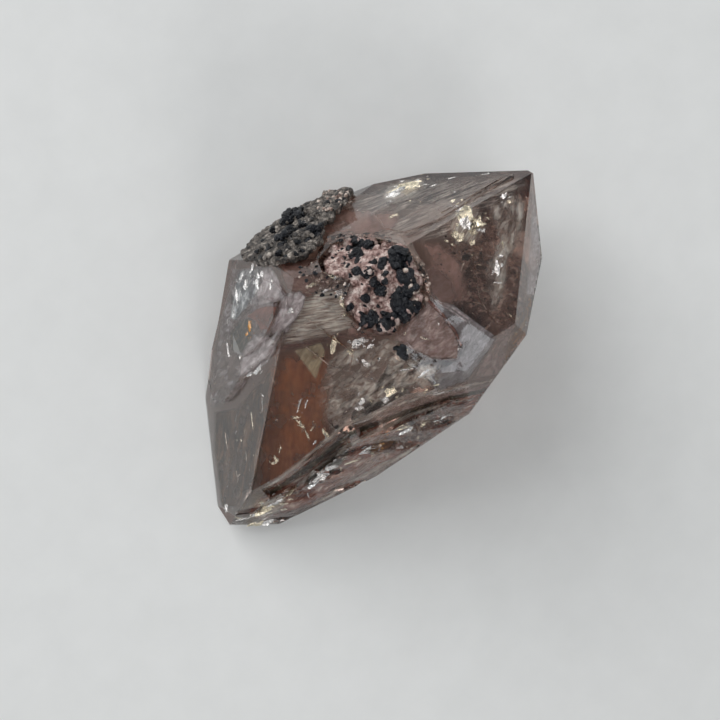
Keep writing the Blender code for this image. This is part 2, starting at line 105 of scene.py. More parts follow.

# Films inside the crystal, some of them painted highlights, reflections and shade: name, material, streak
# angle in the picture, depth (mm), soft edge (px), outline (px)
FILMS = (
    ("haze_top", "streaked", 22, 1.4, 8,
     ((335, 205), (372, 190), (430, 178), (520, 174), (524, 182), (480, 208), (436, 240), (400, 240),
      (345, 236), (325, 232))),
    # flash_top: a cream film standing in for the bright flash under the top face, a painted highlight
    ("flash_top", "cream", 24, 0.4, 4,
     ((380, 196), (390, 184), (404, 178), (424, 176), (426, 186), (414, 197), (396, 203), (384, 204))),
    ("hot_spot", "rosy_cover", 30, 0.6, 5,
     ((424, 268), (438, 266), (452, 278), (458, 296), (452, 306), (440, 304), (430, 294))),
    ("pocket_left", "speckled", 20, 0.35, 6,
     ((300, 266), (316, 254), (346, 246), (352, 262), (350, 296), (330, 292), (308, 284))),
    ("haze_tip", "speckled", 70, 2.2, 8,
     ((436, 243), (480, 212), (528, 182), (527, 250), (526, 318), (505, 338), (480, 322), (452, 303),
      (436, 280))),
    # haze_tip_flash: a cream film standing in for the flash in the tip, a painted highlight
    ("haze_tip_flash", "cream", 60, 0.7, 5,
     ((447, 222), (462, 206), (480, 210), (488, 226), (476, 244), (455, 246))),
    ("haze_tip_cloud", "wispy", 75, 1.0, 7,
     ((486, 206), (512, 192), (526, 200), (524, 240), (508, 262), (506, 300), (490, 312), (484, 270),
      (498, 240))),
    ("rosy_left_of_tip", "rosy", 60, 1.5, 6,
     ((418, 240), (440, 243), (462, 262), (472, 302), (455, 306), (436, 292), (428, 262))),
    ("haze_front", "rosy", 20, 1.6, 6,
     ((428, 294), (442, 312), (457, 330), (463, 346), (458, 361), (430, 361), (390, 338), (345, 335),
      (350, 300), (395, 325), (425, 300))),
    ("haze_tongue", "rosy_wisps", 35, 0.7, 3,
     ((414, 306), (430, 298), (443, 312), (456, 332), (461, 346), (457, 359), (432, 360), (410, 350),
      (392, 338), (405, 330))),
    ("cream_patch", "cream", 8, 0.9, 5,
     ((290, 300), (306, 296), (330, 284), (347, 285), (350, 302), (356, 326), (340, 334), (312, 341),
      (282, 347), (284, 322))),
    ("rosy_window", "rosy", 15, 0.9, 5,
     ((316, 222), (333, 207), (372, 208), (398, 212), (403, 222), (390, 233), (370, 238), (340, 237),
      (322, 236))),
    ("brown_window", "rosy_cover", 15, 0.9, 4,
     ((279, 264), (330, 258), (345, 284), (308, 297), (288, 290))),
    # arrow_haze and arrow_edge: grey and pale lavender films over the arrowhead, a painted bright reflection
    ("arrow_haze", "grey_haze", 50, 1.2, 2,
     ((426, 290), (446, 303), (493, 338), (465, 379), (438, 388), (428, 376), (446, 366), (458, 358),
      (461, 346), (454, 330), (438, 309))),
    ("arrow_edge", "lavender_bright", 35, 0.9, 2,
     ((426, 290), (446, 303), (470, 321), (466, 323), (446, 310), (436, 304))),
    ("haze_middle", "wispy", 35, 1.9, 18,
     ((345, 340), (395, 340), (438, 366), (462, 374), (440, 392), (400, 404), (352, 428), (330, 436),
      (316, 400), (326, 360))),
    ("red_line", "dark_red", 12, 0.5, 2,
     ((272, 347), (305, 341), (336, 333), (392, 334), (388, 338), (338, 338), (308, 346), (275, 352))),
    ("rosy_glow", "rosy_wisps", 80, 3.4, 12,
     ((262, 484), (276, 440), (320, 424), (346, 436), (318, 452), (290, 474))),
    ("amber_left", "amber", 88, 2.6, 12,
     ((274, 352), (334, 346), (334, 400), (334, 440), (306, 482), (252, 506), (254, 440))),
    ("red_corner", "dark_red", 30, 2.6, 7,
     ((312, 432), (350, 392), (385, 392), (352, 416), (328, 440))),
    ("pale_wedge", "pale_yellow", 60, 1.3, 2,
     ((293, 350), (322, 342), (326, 352), (316, 381))),
    # haze_low_left: upright fibres, darkened as a painted dark reflection on the low left face
    ("haze_low_left", "dark_fibres", 82, 0.5, 3,
     ((276, 360), (258, 384), (236, 408), (214, 412), (214, 452), (221, 508), (236, 508), (252, 490),
      (266, 420))),
    ("haze_lobe", "lavender", 60, 0.35, 3,
     ((232, 268), (262, 266), (287, 292), (302, 294), (303, 303), (289, 331), (270, 356), (238, 380),
      (208, 388), (220, 325))),
    ("haze_lobe_foot", "lavender", 60, 0.45, 4,
     ((208, 388), (240, 380), (256, 378), (240, 400), (226, 408), (210, 412))),
    # lobe_upper, lobe_right and lobe_low: pale lavender films on the lobes, a painted bright reflection
    ("lobe_upper", "lavender_bright", 70, 0.22, 2,
     ((259, 267), (270, 266), (277, 274), (282, 288), (280, 299), (268, 304), (258, 307), (255, 294),
      (262, 280))),
    ("lobe_right", "lavender_bright", 50, 0.2, 2,
     ((279, 300), (290, 292), (300, 290), (305, 296), (302, 308), (294, 320), (282, 331), (271, 335),
      (272, 322), (277, 310))),
    ("lobe_low", "lavender_bright", 50, 0.22, 2,
     ((246, 343), (256, 335), (268, 335), (276, 341), (276, 352), (266, 364), (248, 374), (239, 378),
      (240, 364))),
    # lobe_gap: a red-brown film in the gap between the lobes, painted shade
    ("lobe_gap", "rust", 60, 0.22, 2,
     ((245, 317), (256, 308), (268, 305), (276, 306), (271, 319), (269, 331), (260, 331), (255, 322))),
    ("lobe_moss", "moss", 60, 0.2, 2,
     ((229, 334), (239, 322), (248, 317), (254, 326), (250, 340), (242, 353), (231, 351))),
    ("lobe_silver", "silver", 75, 0.2, 3,
     ((238, 270), (262, 267), (260, 283), (255, 298), (245, 310), (235, 322), (229, 318), (233, 294))),
    # tip_right_haze: a pale lavender film on the right face, a painted bright reflection
    ("tip_right_haze", "lavender_bright", 80, 0.5, 3,
     ((532, 176), (545, 262), (542, 296), (525, 296), (529, 240))),
    ("right_wall", "rosy_wisps", 50, 0.4, 3,
     ((494, 341), (505, 330), (516, 320), (509, 345), (502, 375), (468, 382))),
    ("gold_corner", "golden", 60, 0.6, 4,
     ((500, 366), (506, 345), (516, 320), (527, 298), (542, 298), (534, 322), (521, 352), (505, 376))),
    ("band_crumbs", "speckled", 30, 0.3, 4,
     ((398, 425), (420, 408), (462, 402), (470, 410), (440, 432), (408, 452), (380, 458))),
    # band_haze and band_end: the band's ledges, whose dark red-brown is a painted dark reflection and whose
    # pale streaks are painted highlights
    ("band_haze", "ledges", 32, 0.45, 5,
     ((240, 512), (270, 490), (310, 466), (345, 436), (380, 420), (392, 440), (350, 480), (312, 506),
      (262, 522))),
    ("lens_dark", "moss", 45, 0.35, 3,
     ((303, 487), (314, 467), (330, 452), (346, 445), (351, 456), (338, 470), (324, 483), (309, 493))),
    ("lens_amber", "golden", 30, 0.25, 3,
     ((366, 453), (374, 440), (392, 434), (401, 438), (392, 449), (376, 457))),
    # flash_low and flash_foot: cream films standing in for the bright flashes at the foot, painted highlights
    ("flash_low", "cream", 30, 0.2, 3,
     ((250, 516), (262, 503), (280, 494), (288, 500), (280, 513), (262, 520))),
    ("flash_foot", "cream", 12, 0.2, 3,
     ((244, 525), (261, 519), (277, 521), (270, 528), (250, 530))),
    ("band_end", "ledges", 25, 0.4, 4,
     ((398, 420), (440, 400), (500, 384), (498, 394), (476, 408), (440, 436), (414, 458), (380, 466),
      (350, 494), (322, 514), (312, 506), (350, 480), (380, 458))),
    # Ridge lines along the band: cream lines are painted highlights on its ridges, and ridge_shade is a dark
    # line of painted shade
    ("ridge_top", "cream", 30, 0.22, 1,
     ((262, 490), (300, 461), (345, 424), (400, 402), (440, 390), (503, 378), (503, 381), (440, 393),
      (400, 406), (345, 428), (300, 465), (264, 493))),
    ("ridge_shade", "moss", 30, 0.24, 1,
     ((268, 492), (302, 468), (348, 431), (402, 410), (442, 397), (496, 385), (496, 388), (443, 402),
      (404, 415), (350, 437), (304, 474), (270, 496))),
    ("ridge_middle", "cream", 30, 0.2, 1,
     ((298, 484), (330, 455), (356, 440), (410, 414), (452, 402), (474, 398), (472, 401), (452, 405),
      (412, 418), (358, 444), (333, 459), (300, 487))),
    ("ridge_low", "cream", 30, 0.2, 1,
     ((312, 503), (345, 484), (384, 462), (430, 440), (462, 416), (464, 419), (432, 444), (386, 466),
      (347, 488), (314, 506))),
    # tongue_edge: a red-brown line along the tongue's lower right step, painted shade
    ("tongue_edge", "rust", 40, 0.6, 1,
     ((427, 296), (444, 313), (457, 331), (463, 346), (460, 347), (454, 333), (441, 316), (426, 301))),
    ("band_rib", "rosy_wisps", 30, 0.4, 3,
     ((330, 442), (352, 428), (400, 405), (440, 392), (500, 380), (498, 386), (440, 402), (400, 416),
      (350, 440), (318, 462))),
)
REGIONS = {name: outline for name, _, _, _, _, outline in FILMS}
# A film is a grid of points this far apart, finer where its edge is sharp
GRID_PX = 3.0
FINE_GRID_PX = 1.5
SHARP_EDGE_PX = 3
# How much a film's depth wavers, as a share of it, and how often, per pixel
WAVER = 0.35
WAVER_PER_PX = 0.03

# Clefts, bright and dark: place (px), long and short size (px), angle in the picture, depth (mm), tone
CLEFTS = (
    # The flash under the top face
    (404, 189, 36, 22, 24, 0.3, "gold"), (393, 196, 22, 15, 25, 0.3, "white"),
    (415, 183, 18, 13, 15, 0.3, "gold"), (399, 191, 22, 14, 40, 0.25, "white"),
    (410, 187, 18, 12, 10, 0.25, "white"),
    # Along the top edge
    (452, 178, 18, 3, 12, 0.4, "white"), (486, 174, 14, 3, 8, 0.4, "white"),
    (433, 186, 10, 4, 30, 0.5, "white"),
    # The flash in the tip
    (464, 217, 30, 20, 60, 0.4, "gold"), (470, 228, 24, 17, 20, 0.5, "gold"),
    (457, 236, 17, 13, 110, 0.4, "gold"), (460, 211, 12, 14, 0, 0.3, "white"),
    (477, 223, 15, 12, 140, 0.4, "gold"), (466, 224, 20, 16, 80, 0.35, "white"),
    # Sparks in the tip
    (497, 268, 20, 9, 80, 0.8, "white"), (504, 196, 12, 7, 40, 0.7, "white"),
    (500, 256, 8, 5, 30, 0.7, "white"),
    # The middle of the front
    (355, 345, 14, 10, 65, 0.5, "white"), (363, 341, 12, 8, 20, 0.6, "white"),
    (366, 364, 13, 8, 120, 0.8, "white"), (362, 402, 15, 7, 60, 0.9, "white"),
    (333, 345, 22, 7, 78, 1.0, "gold"), (391, 392, 17, 11, 40, 1.0, "gold"),
    (385, 400, 12, 8, 100, 1.2, "white"), (424, 373, 15, 4, 35, 0.7, "white"),
    (359, 408, 12, 5, 35, 1.2, "white"), (350, 352, 8, 6, 150, 0.6, "gold"),
    (371, 346, 10, 6, 40, 0.5, "white"), (405, 370, 18, 2, 20, 0.6, "white"),
    # Sprays in the amber glass
    (301, 425, 19, 4, 125, 1.2, "gold"), (307, 434, 16, 3, 110, 1.4, "gold"),
    (299, 405, 20, 2, 72, 1.2, "white"), (306, 404, 16, 2, 70, 1.3, "white"),
    (325, 433, 16, 5, 115, 1.1, "gold"), (330, 440, 11, 4, 95, 1.0, "white"),
    (296, 418, 12, 3, 20, 1.2, "gold"), (312, 429, 10, 2, 60, 1.3, "gold"),
    (276, 459, 11, 4, 110, 1.4, "gold"), (280, 450, 13, 2, 75, 1.3, "gold"),
    (274, 463, 9, 4, 20, 1.2, "gold"),
    # The lobes and the left faces
    (257, 282, 20, 12, 75, 0.15, "white"), (246, 284, 16, 10, 60, 0.15, "white"),
    (237, 296, 22, 9, 65, 0.15, "white"), (242, 276, 18, 5, 25, 0.12, "white"),
    (234, 312, 20, 5, 75, 0.15, "white"), (262, 274, 12, 7, 50, 0.15, "white"),
    (260, 367, 34, 6, 36, 0.1, "white"), (250, 372, 20, 8, 30, 0.12, "white"),
    (252, 268, 14, 7, 40, 0.2, "white"), (270, 284, 14, 4, 80, 0.2, "white"),
    (228, 350, 5, 22, 0, 0.2, "white"), (292, 310, 16, 6, 45, 0.2, "white"),
    # The foot at lower left
    (262, 511, 34, 8, 30, 0.2, "gold"), (262, 524, 28, 7, 12, 0.2, "gold"),
    (226, 508, 12, 10, 60, 0.1, "white"), (275, 503, 22, 7, 32, 0.15, "white"),
    (244, 519, 20, 5, 20, 0.15, "white"), (268, 508, 26, 12, 30, 0.12, "gold"),
    (258, 514, 22, 9, 25, 0.12, "white"), (256, 524, 26, 9, 12, 0.12, "gold"),
    (268, 522, 20, 8, 10, 0.12, "white"),
    # The broken band
    (322, 475, 34, 13, 45, 0.2, "white"), (314, 481, 26, 9, 50, 0.2, "white"),
    (376, 448, 24, 9, 35, 0.3, "gold"), (330, 468, 18, 9, 40, 0.15, "white"),
    (384, 443, 20, 8, 30, 0.25, "amber"), (366, 452, 18, 7, 40, 0.25, "white"),
    (290, 492, 26, 5, 40, 0.2, "gold"), (280, 498, 24, 4, 35, 0.2, "white"),
    (352, 462, 22, 4, 32, 0.2, "gold"), (408, 430, 20, 6, 35, 0.2, "white"),
    (424, 424, 16, 5, 60, 0.2, "gold"), (440, 420, 16, 4, 30, 0.2, "white"),
    (385, 440, 14, 4, 120, 0.4, "white"), (492, 386, 18, 5, 35, 0.3, "white"),
    (430, 444, 14, 5, 30, 0.2, "white"),
    # Long lines along the band's ridges
    (375, 418, 60, 2, 27, 0.2, "white"), (455, 390, 55, 2, 14, 0.2, "white"),
    (300, 470, 46, 2, 42, 0.2, "gold"), (350, 446, 30, 2, 34, 0.2, "white"),
    (404, 428, 26, 3, 30, 0.2, "gold"), (448, 416, 24, 3, 35, 0.2, "white"),
    # Left of the pocket
    (312, 285, 16, 4, 25, 0.4, "gold"), (334, 278, 14, 5, 150, 0.4, "gold"),
    (338, 276, 16, 3, 40, 0.3, "white"), (340, 292, 16, 9, 30, 0.6, "white"),
    (342, 302, 14, 6, 110, 0.7, "gold"), (328, 290, 14, 5, 10, 0.6, "white"),
    # Sparks at left and at the tip
    (250, 326, 16, 8, 80, 0.12, "amber"), (247, 333, 10, 6, 60, 0.12, "amber"),
    (509, 202, 8, 5, 10, 0.8, "gold"), (240, 356, 8, 5, 30, 0.2, "white"),
    # Dark ones
    (334, 456, 24, 10, 50, 0.25, "dark"), (296, 470, 14, 4, 40, 0.3, "dark"),
    (430, 412, 10, 6, 20, 0.2, "dark"), (412, 424, 12, 5, 40, 0.2, "dark"),
    (448, 420, 10, 5, 60, 0.2, "dark"), (232, 300, 7, 16, 0, 0.2, "dark"),
    (240, 335, 10, 14, 20, 0.2, "dark"), (340, 430, 8, 20, 30, 0.8, "dark"),
    (466, 258, 12, 8, 40, 1.2, "dark"),
    # Fine upright ones at lower left and at the right edge
    (226, 440, 3, 26, 0, 0.3, "dim"), (252, 420, 3, 30, 0, 0.3, "gold"),
    (262, 400, 2, 26, 170, 0.3, "white"), (236, 470, 2, 22, 5, 0.3, "dim"),
    (537, 262, 3, 8, 0, 0.3, "white"), (533, 218, 3, 6, 0, 0.3, "white"),
)
# Splinters strewn round each listed cleft: how many, then as shares of the cleft how far along and across
# it they spread, how long, wide and deep they are, and how far they turn from it in degrees
SPLINTERS = 4
SPLINTER_SPREAD = (0.5, 0.8)
SPLINTER_LENGTH = (0.15, 0.45)
SPLINTER_WIDTH = (0.15, 0.4)
SPLINTER_DEPTH = (0.8, 1.4)
SPLINTER_TURN_DEG = 28
# A cleft's rim: corners, and how far out they are as a share of its size. Its middle is raised a little,
# its wall is off the mirror direction by this much, and light that grazes the face more doesn't count
CLEFT_CORNERS = 11
CLEFT_REACH = (0.45, 1.1)
CLEFT_CROWN_MM = 0.02
CLEFT_TILT = 0.13
GRAZING = 0.1
CLEFT_TONES = {"white": (0.95, 0.94, 0.93), "gold": (0.97, 0.88, 0.68), "amber": (0.75, 0.38, 0.12),
               "dim": (0.50, 0.42, 0.35), "dark": (0.03, 0.02, 0.016)}
# Veils strewn with small clefts: how many, and the deepest in mm
CLEFT_FIELDS = (("haze_tip", 60, 2.5), ("haze_middle", 55, 2.2), ("haze_top", 46, 1.4),
                ("band_haze", 60, 0.5), ("band_rib", 26, 0.4), ("haze_low_left", 34, 0.5),
                ("haze_lobe", 26, 0.35), ("band_crumbs", 44, 0.4), ("haze_tongue", 10, 0.8),
                ("gold_corner", 12, 0.6), ("amber_left", 9, 3.0))
# Veils strewn with dark specks: how many, and the deepest in mm
SPECK_FIELDS = (("haze_tip", 110, 2.2), ("haze_low_left", 30, 0.5), ("band_crumbs", 60, 0.4),
                ("haze_top", 40, 1.2), ("haze_middle", 16, 1.6), ("rosy_window", 10, 0.8))

# Glossy black grains on the crusts: place and radius in pixels
POCKET_GRAINS = (
    (359, 245, 6.5), (357, 256, 7.0), (361, 262, 5.0), (373, 244, 6.5), (377, 240, 3.5), (367, 238, 3.5),
    (350, 249, 3.5), (386, 242, 2.6), (399, 255, 9.5), (395, 261, 7.0), (402, 267, 6.5), (408, 260, 4.5),
    (404, 278, 7.0), (409, 285, 8.0), (402, 292, 6.0), (407, 296, 5.5), (401, 301, 7.0), (397, 305, 6.5),
    (407, 305, 5.5), (399, 313, 7.5), (413, 310, 6.0), (418, 305, 4.5), (388, 318, 7.0), (389, 326, 6.5),
    (381, 324, 6.5), (373, 319, 6.5), (365, 321, 5.5), (388, 331, 4.0), (382, 264, 6.0), (373, 263, 4.0),
    (367, 273, 5.2), (385, 274, 3.4), (375, 283, 4.8), (384, 282, 3.4), (382, 291, 5.0), (365, 299, 4.2),
    (350, 306, 4.2), (361, 313, 3.4), (329, 271, 3.2), (315, 273, 2.6), (345, 265, 2.6), (356, 271, 3.6),
    (340, 271, 2.4), (349, 276, 2.6), (322, 295, 2.2), (402, 351, 5.5), (396, 348, 3.0), (404, 356, 3.5),
)
SHOULDER_GRAINS = (
    (315, 232, 6.0), (311, 228, 4.5), (320, 226, 4.0), (281, 241, 6.5), (286, 237, 5.0), (284, 218, 7.5),
    (292, 214, 6.5), (300, 213, 6.0), (291, 229, 5.5), (303, 224, 5.0), (279, 254, 4.5), (264, 241, 3.2),
    (286, 257, 3.0), (295, 254, 2.6), (303, 251, 2.8), (273, 230, 4.0), (308, 240, 3.6), (297, 243, 3.4),
    (268, 250, 3.0), (257, 251, 2.6), (328, 203, 2.8), (339, 202, 3.2), (334, 199, 2.4), (344, 199, 2.0),
)
# A crust's finer surface: the voxels it is remeshed with, and the height of its lumps
VOXEL_MM = 0.1
LUMP_MM = 0.22
# How far a crust is grown where it faces the quartz, to close the gap between them. It starts this near
# the quartz and is full this much nearer
SEAT_GROW_MM = 0.22
SEAT_FROM_MM = 0.8
SEAT_FADE_MM = 0.4
# The random planes cut grains down, so they start this much larger. The planes stand this far out, and
# the pits are this deep, in radii
GRAIN_SWELL = 1.22
GRAIN_PLANES = (0.48, 0.88)
GRAIN_PITS = 0.15
# How much of a grain's height is left, so grains are lumps on the crust and not balls, and how much of
# that is sunk into the crust
GRAIN_HEIGHT = 0.8
GRAIN_SINK = 0.55
# A listed grain larger than this is a ring of smaller ones: how many, how far out and how large, in radii
CLUSTER_FROM_PX = 4.6
CLUSTER_OF = 5
CLUSTER_REACH = (0.35, 0.65)
CLUSTER_SIZES = (0.5, 0.85)
# Outlines on the crusts that small crumbs are strewn in
POCKET_PX = ((333, 240), (352, 236), (378, 237), (402, 243), (420, 262), (428, 284), (426, 303), (408, 316),
             (392, 332), (366, 326), (345, 308), (340, 292), (318, 280), (312, 268), (322, 258))
SHOULDER_PX = ((250, 259), (262, 244), (273, 231), (285, 214), (303, 210), (316, 208), (320, 222), (318, 240),
               (308, 250), (298, 257), (275, 261))
CREST_PX = ((314, 202), (326, 192), (352, 188), (352, 202), (334, 209), (318, 212))
CORNER_PX = ((332, 246), (340, 236), (356, 234), (354, 262), (338, 270))
FRINGE_PX = ((302, 266), (318, 254), (343, 247), (346, 300), (326, 292), (306, 284))
RIM_PX = ((405, 262), (416, 264), (427, 282), (427, 302), (414, 308), (410, 292))
# Random seeds, so each run is the same
CRUMB_SEED = 21
CLEFT_SEED = 5
SPECK_SEED = 9

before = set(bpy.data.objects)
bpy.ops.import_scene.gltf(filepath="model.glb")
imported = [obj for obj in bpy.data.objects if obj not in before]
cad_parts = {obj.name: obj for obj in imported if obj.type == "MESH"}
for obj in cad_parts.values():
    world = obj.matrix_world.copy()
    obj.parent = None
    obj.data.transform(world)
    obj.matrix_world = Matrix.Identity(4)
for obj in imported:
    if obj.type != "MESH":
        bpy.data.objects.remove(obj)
CAD_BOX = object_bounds()


def sight(pixel):
    """The direction from the camera through a photograph pixel."""
    across = (pixel[0] - SEED_PX[0]) / PIXELS_PER_MM * MM
    down = (pixel[1] - SEED_PX[1]) / PIXELS_PER_MM * MM
    return (SEED + across * PHOTO_RIGHT - down * PHOTO_UP - EYE).normalized()


def node_tree(*names):
    """A tree for ray tests against CAD nodes."""
    points, faces = [], []
    for name in names:
        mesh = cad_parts[name].data
        start = len(points)
        points += [v.co.copy() for v in mesh.vertices]
        faces += [[start + k for k in p.vertices] for p in mesh.polygons]
    return BVHTree.FromPolygons(points, faces)


QUARTZ = node_tree("quartz_crystal")
OUTSIDE = node_tree("quartz_crystal", "pocket_crust", "shoulder_crust")


def refracted(direction, normal):
    """A direction in air bent as it goes into the quartz."""
    ratio = 1.0 / QUARTZ_IOR
    cosine = -direction.dot(normal)
    return ratio * direction + (ratio * cosine - math.sqrt(1.0 - ratio ** 2 * (1.0 - cosine ** 2))) * normal


def inside(pixel, depth_mm, normal=None):
    """The place a line of sight comes to once it has gone so deep into the quartz, or None beside it."""
    direction = sight(pixel)
    point, own_normal, _, _ = QUARTZ.ray_cast(EYE, direction)
    if point is None:
        return None
    bent = refracted(direction, normal or own_normal)
    _, _, _, chord = QUARTZ.ray_cast(point + bent * START_IN_MM * MM, bent)
    return point + bent * min(depth_mm * MM, DEEPEST * (chord or 0.0))


def within(point, outline):
    """Whether a picture point is inside a closed outline."""
    x, y = point
    odd = False
    for (ax, ay), (bx, by) in zip(outline, outline[1:] + outline[:1]):
        if (ay > y) != (by > y) and x < ax + (y - ay) / (by - ay) * (bx - ax):
            odd = not odd
    return odd


def edge_distance(point, outline):
    """How far a picture point is from an outline."""
    best = 1e9
    spot = Vector(point)
    for start, end in zip(outline, outline[1:] + outline[:1]):
        start, run = Vector(start), Vector(end) - Vector(start)
        along = max(0.0, min(1.0, (spot - start).dot(run) / run.length_squared))
        best = min(best, (spot - start - along * run).length)
    return best


def add_object(name, data):
    """An object in the scene that shows a mesh, light or camera."""
    added = bpy.data.objects.new(name, data)
    bpy.context.scene.collection.objects.link(added)
    return added


def add_mesh(name, bm, material):
    """Turn a bmesh into an object with one material."""
    mesh = bpy.data.meshes.new(name)
    bm.to_mesh(mesh)
    bm.free()
    mesh.materials.append(material)
    return add_object(name, mesh)


def add_piece(name, bm, material):
    """Turn a bmesh into a piece that rides on the crystal."""
    piece = add_mesh(name, bm, material)
    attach(piece, "root")
    return piece


def random_vector(draw):
    """A vector of three draws of the same kind."""
    return Vector([draw() for _ in range(3)])


class Nodes:
    """A short way to write a node tree."""

    def __init__(self, name, coordinates="Object"):
        self.material = bpy.data.materials.new(name)
        self.material.use_nodes = True
        self.tree = self.material.node_tree
        self.shader = self.tree.nodes["Principled BSDF"]
        self.output = self.tree.nodes["Material Output"]
        self.place = self.add("ShaderNodeTexCoord").outputs[coordinates]

    def add(self, kind, **settings):
        node = self.tree.nodes.new(kind)
        for key, value in settings.items():
            setattr(node, key, value)
        return node

    def link(self, start, end):
        self.tree.links.new(start, end)

    def scaled(self, per_unit=(1.0, 1.0, 1.0)):
        """Coordinates scaled to so many pattern units a unit of length on each axis."""
        node = self.add("ShaderNodeMapping", vector_type="POINT")
        node.inputs["Scale"].default_value = per_unit
        self.link(self.place, node.inputs["Vector"])
        return node.outputs["Vector"]

    def per_mm(self, x=1.0, y=1.0, z=1.0):
        return self.scaled((x / MM, y / MM, z / MM))

    def noise(self, vector, scale, detail=4.0, roughness=0.55, distortion=0.0):
        node = self.add("ShaderNodeTexNoise")
        node.inputs["Scale"].default_value = scale
        node.inputs["Detail"].default_value = detail
        node.inputs["Roughness"].default_value = roughness
        node.inputs["Distortion"].default_value = distortion
        self.link(vector, node.inputs["Vector"])
        return node.outputs["Fac"]

    def cells(self, vector, scale):
        node = self.add("ShaderNodeTexVoronoi")
        node.inputs["Scale"].default_value = scale
        self.link(vector, node.inputs["Vector"])
        return node.outputs["Distance"]

    def spread(self, value, low, high, to_low=0.0, to_high=1.0):
        node = self.add("ShaderNodeMapRange")
        ends = {"From Min": low, "From Max": high, "To Min": to_low, "To Max": to_high}
        for name, number in ends.items():
            node.inputs[name].default_value = number
        self.link(value, node.inputs["Value"])
        return node.outputs["Result"]

    def math(self, operation, first, second):
        node = self.add("ShaderNodeMath", operation=operation)
        for slot, value in zip(node.inputs, (first, second)):
            if isinstance(value, (int, float)):
                slot.default_value = value
            else:
                self.link(value, slot)
        return node.outputs[0]

    def ramp(self, value, stops):
        node = self.add("ShaderNodeValToRGB")
        band = node.color_ramp
        while len(band.elements) < len(stops):
            band.elements.new(0.5)
        for element, (position, colour) in zip(band.elements, stops):
            element.position = position
            element.color = (*colour, 1.0)
        self.link(value, node.inputs["Fac"])
        return node.outputs["Color"]

    def bump(self, height, distance_mm, strength=1.0):
        node = self.add("ShaderNodeBump")
        node.inputs["Distance"].default_value = distance_mm * MM
        node.inputs["Strength"].default_value = strength
        self.link(height, node.inputs["Height"])
        return node.outputs["Normal"]

    def facing(self, direction, low, high):
        """Rises from 0 to 1 as the face's own normal turns toward a direction."""
        geometry = self.add("ShaderNodeNewGeometry")
        dot = self.add("ShaderNodeVectorMath", operation="DOT_PRODUCT")
        dot.inputs[1].default_value = direction
        self.link(geometry.outputs["True Normal"], dot.inputs[0])
        return self.spread(dot.outputs["Value"], low, high)


def quartz_material():
    """Clear quartz: growth steps on the prism, shell-like ripples on the breaks, a smoky rosy tint."""
    nodes = Nodes("quartz")
    shader = nodes.shader
    shader.inputs["Base Color"].default_value = (0.99, 0.97, 0.96, 1.0)
    shader.inputs["Transmission Weight"].default_value = 1.0
    shader.inputs["IOR"].default_value = QUARTZ_IOR
    steps = nodes.noise(nodes.per_mm(2.6, 0.22, 0.22), 1.0, detail=3.0)
    soft = nodes.noise(nodes.per_mm(), 0.35, detail=2.0)
    ripple = nodes.noise(nodes.per_mm(0.35, 1.6, 1.2), 0.9, detail=5.0, roughness=0.62, distortion=1.4)
    broken = nodes.facing(BREAK_SIDE, 0.90, 0.95)
    height = nodes.math("ADD", nodes.math("MULTIPLY", steps, 0.35), soft)
    height = nodes.math("ADD", height, nodes.math("MULTIPLY", ripple, nodes.math("MULTIPLY", broken, 6.0)))
    nodes.link(nodes.bump(height, 0.06), shader.inputs["Normal"])
    etched = nodes.noise(nodes.per_mm(), 0.7, detail=6.0, roughness=0.65)
    nodes.link(nodes.spread(etched, 0.45, 0.8, 0.0, 0.10), shader.inputs["Roughness"])
    tint = nodes.add("ShaderNodeVolumeAbsorption")
    tint.inputs["Color"].default_value = QUARTZ_TINT
    tint.inputs["Density"].default_value = QUARTZ_DENSITY
    nodes.link(tint.outputs["Volume"], nodes.output.inputs["Volume"])
    return nodes.material


# How much of a film is left where it is patchiest
PATCH_LOW = 0.55
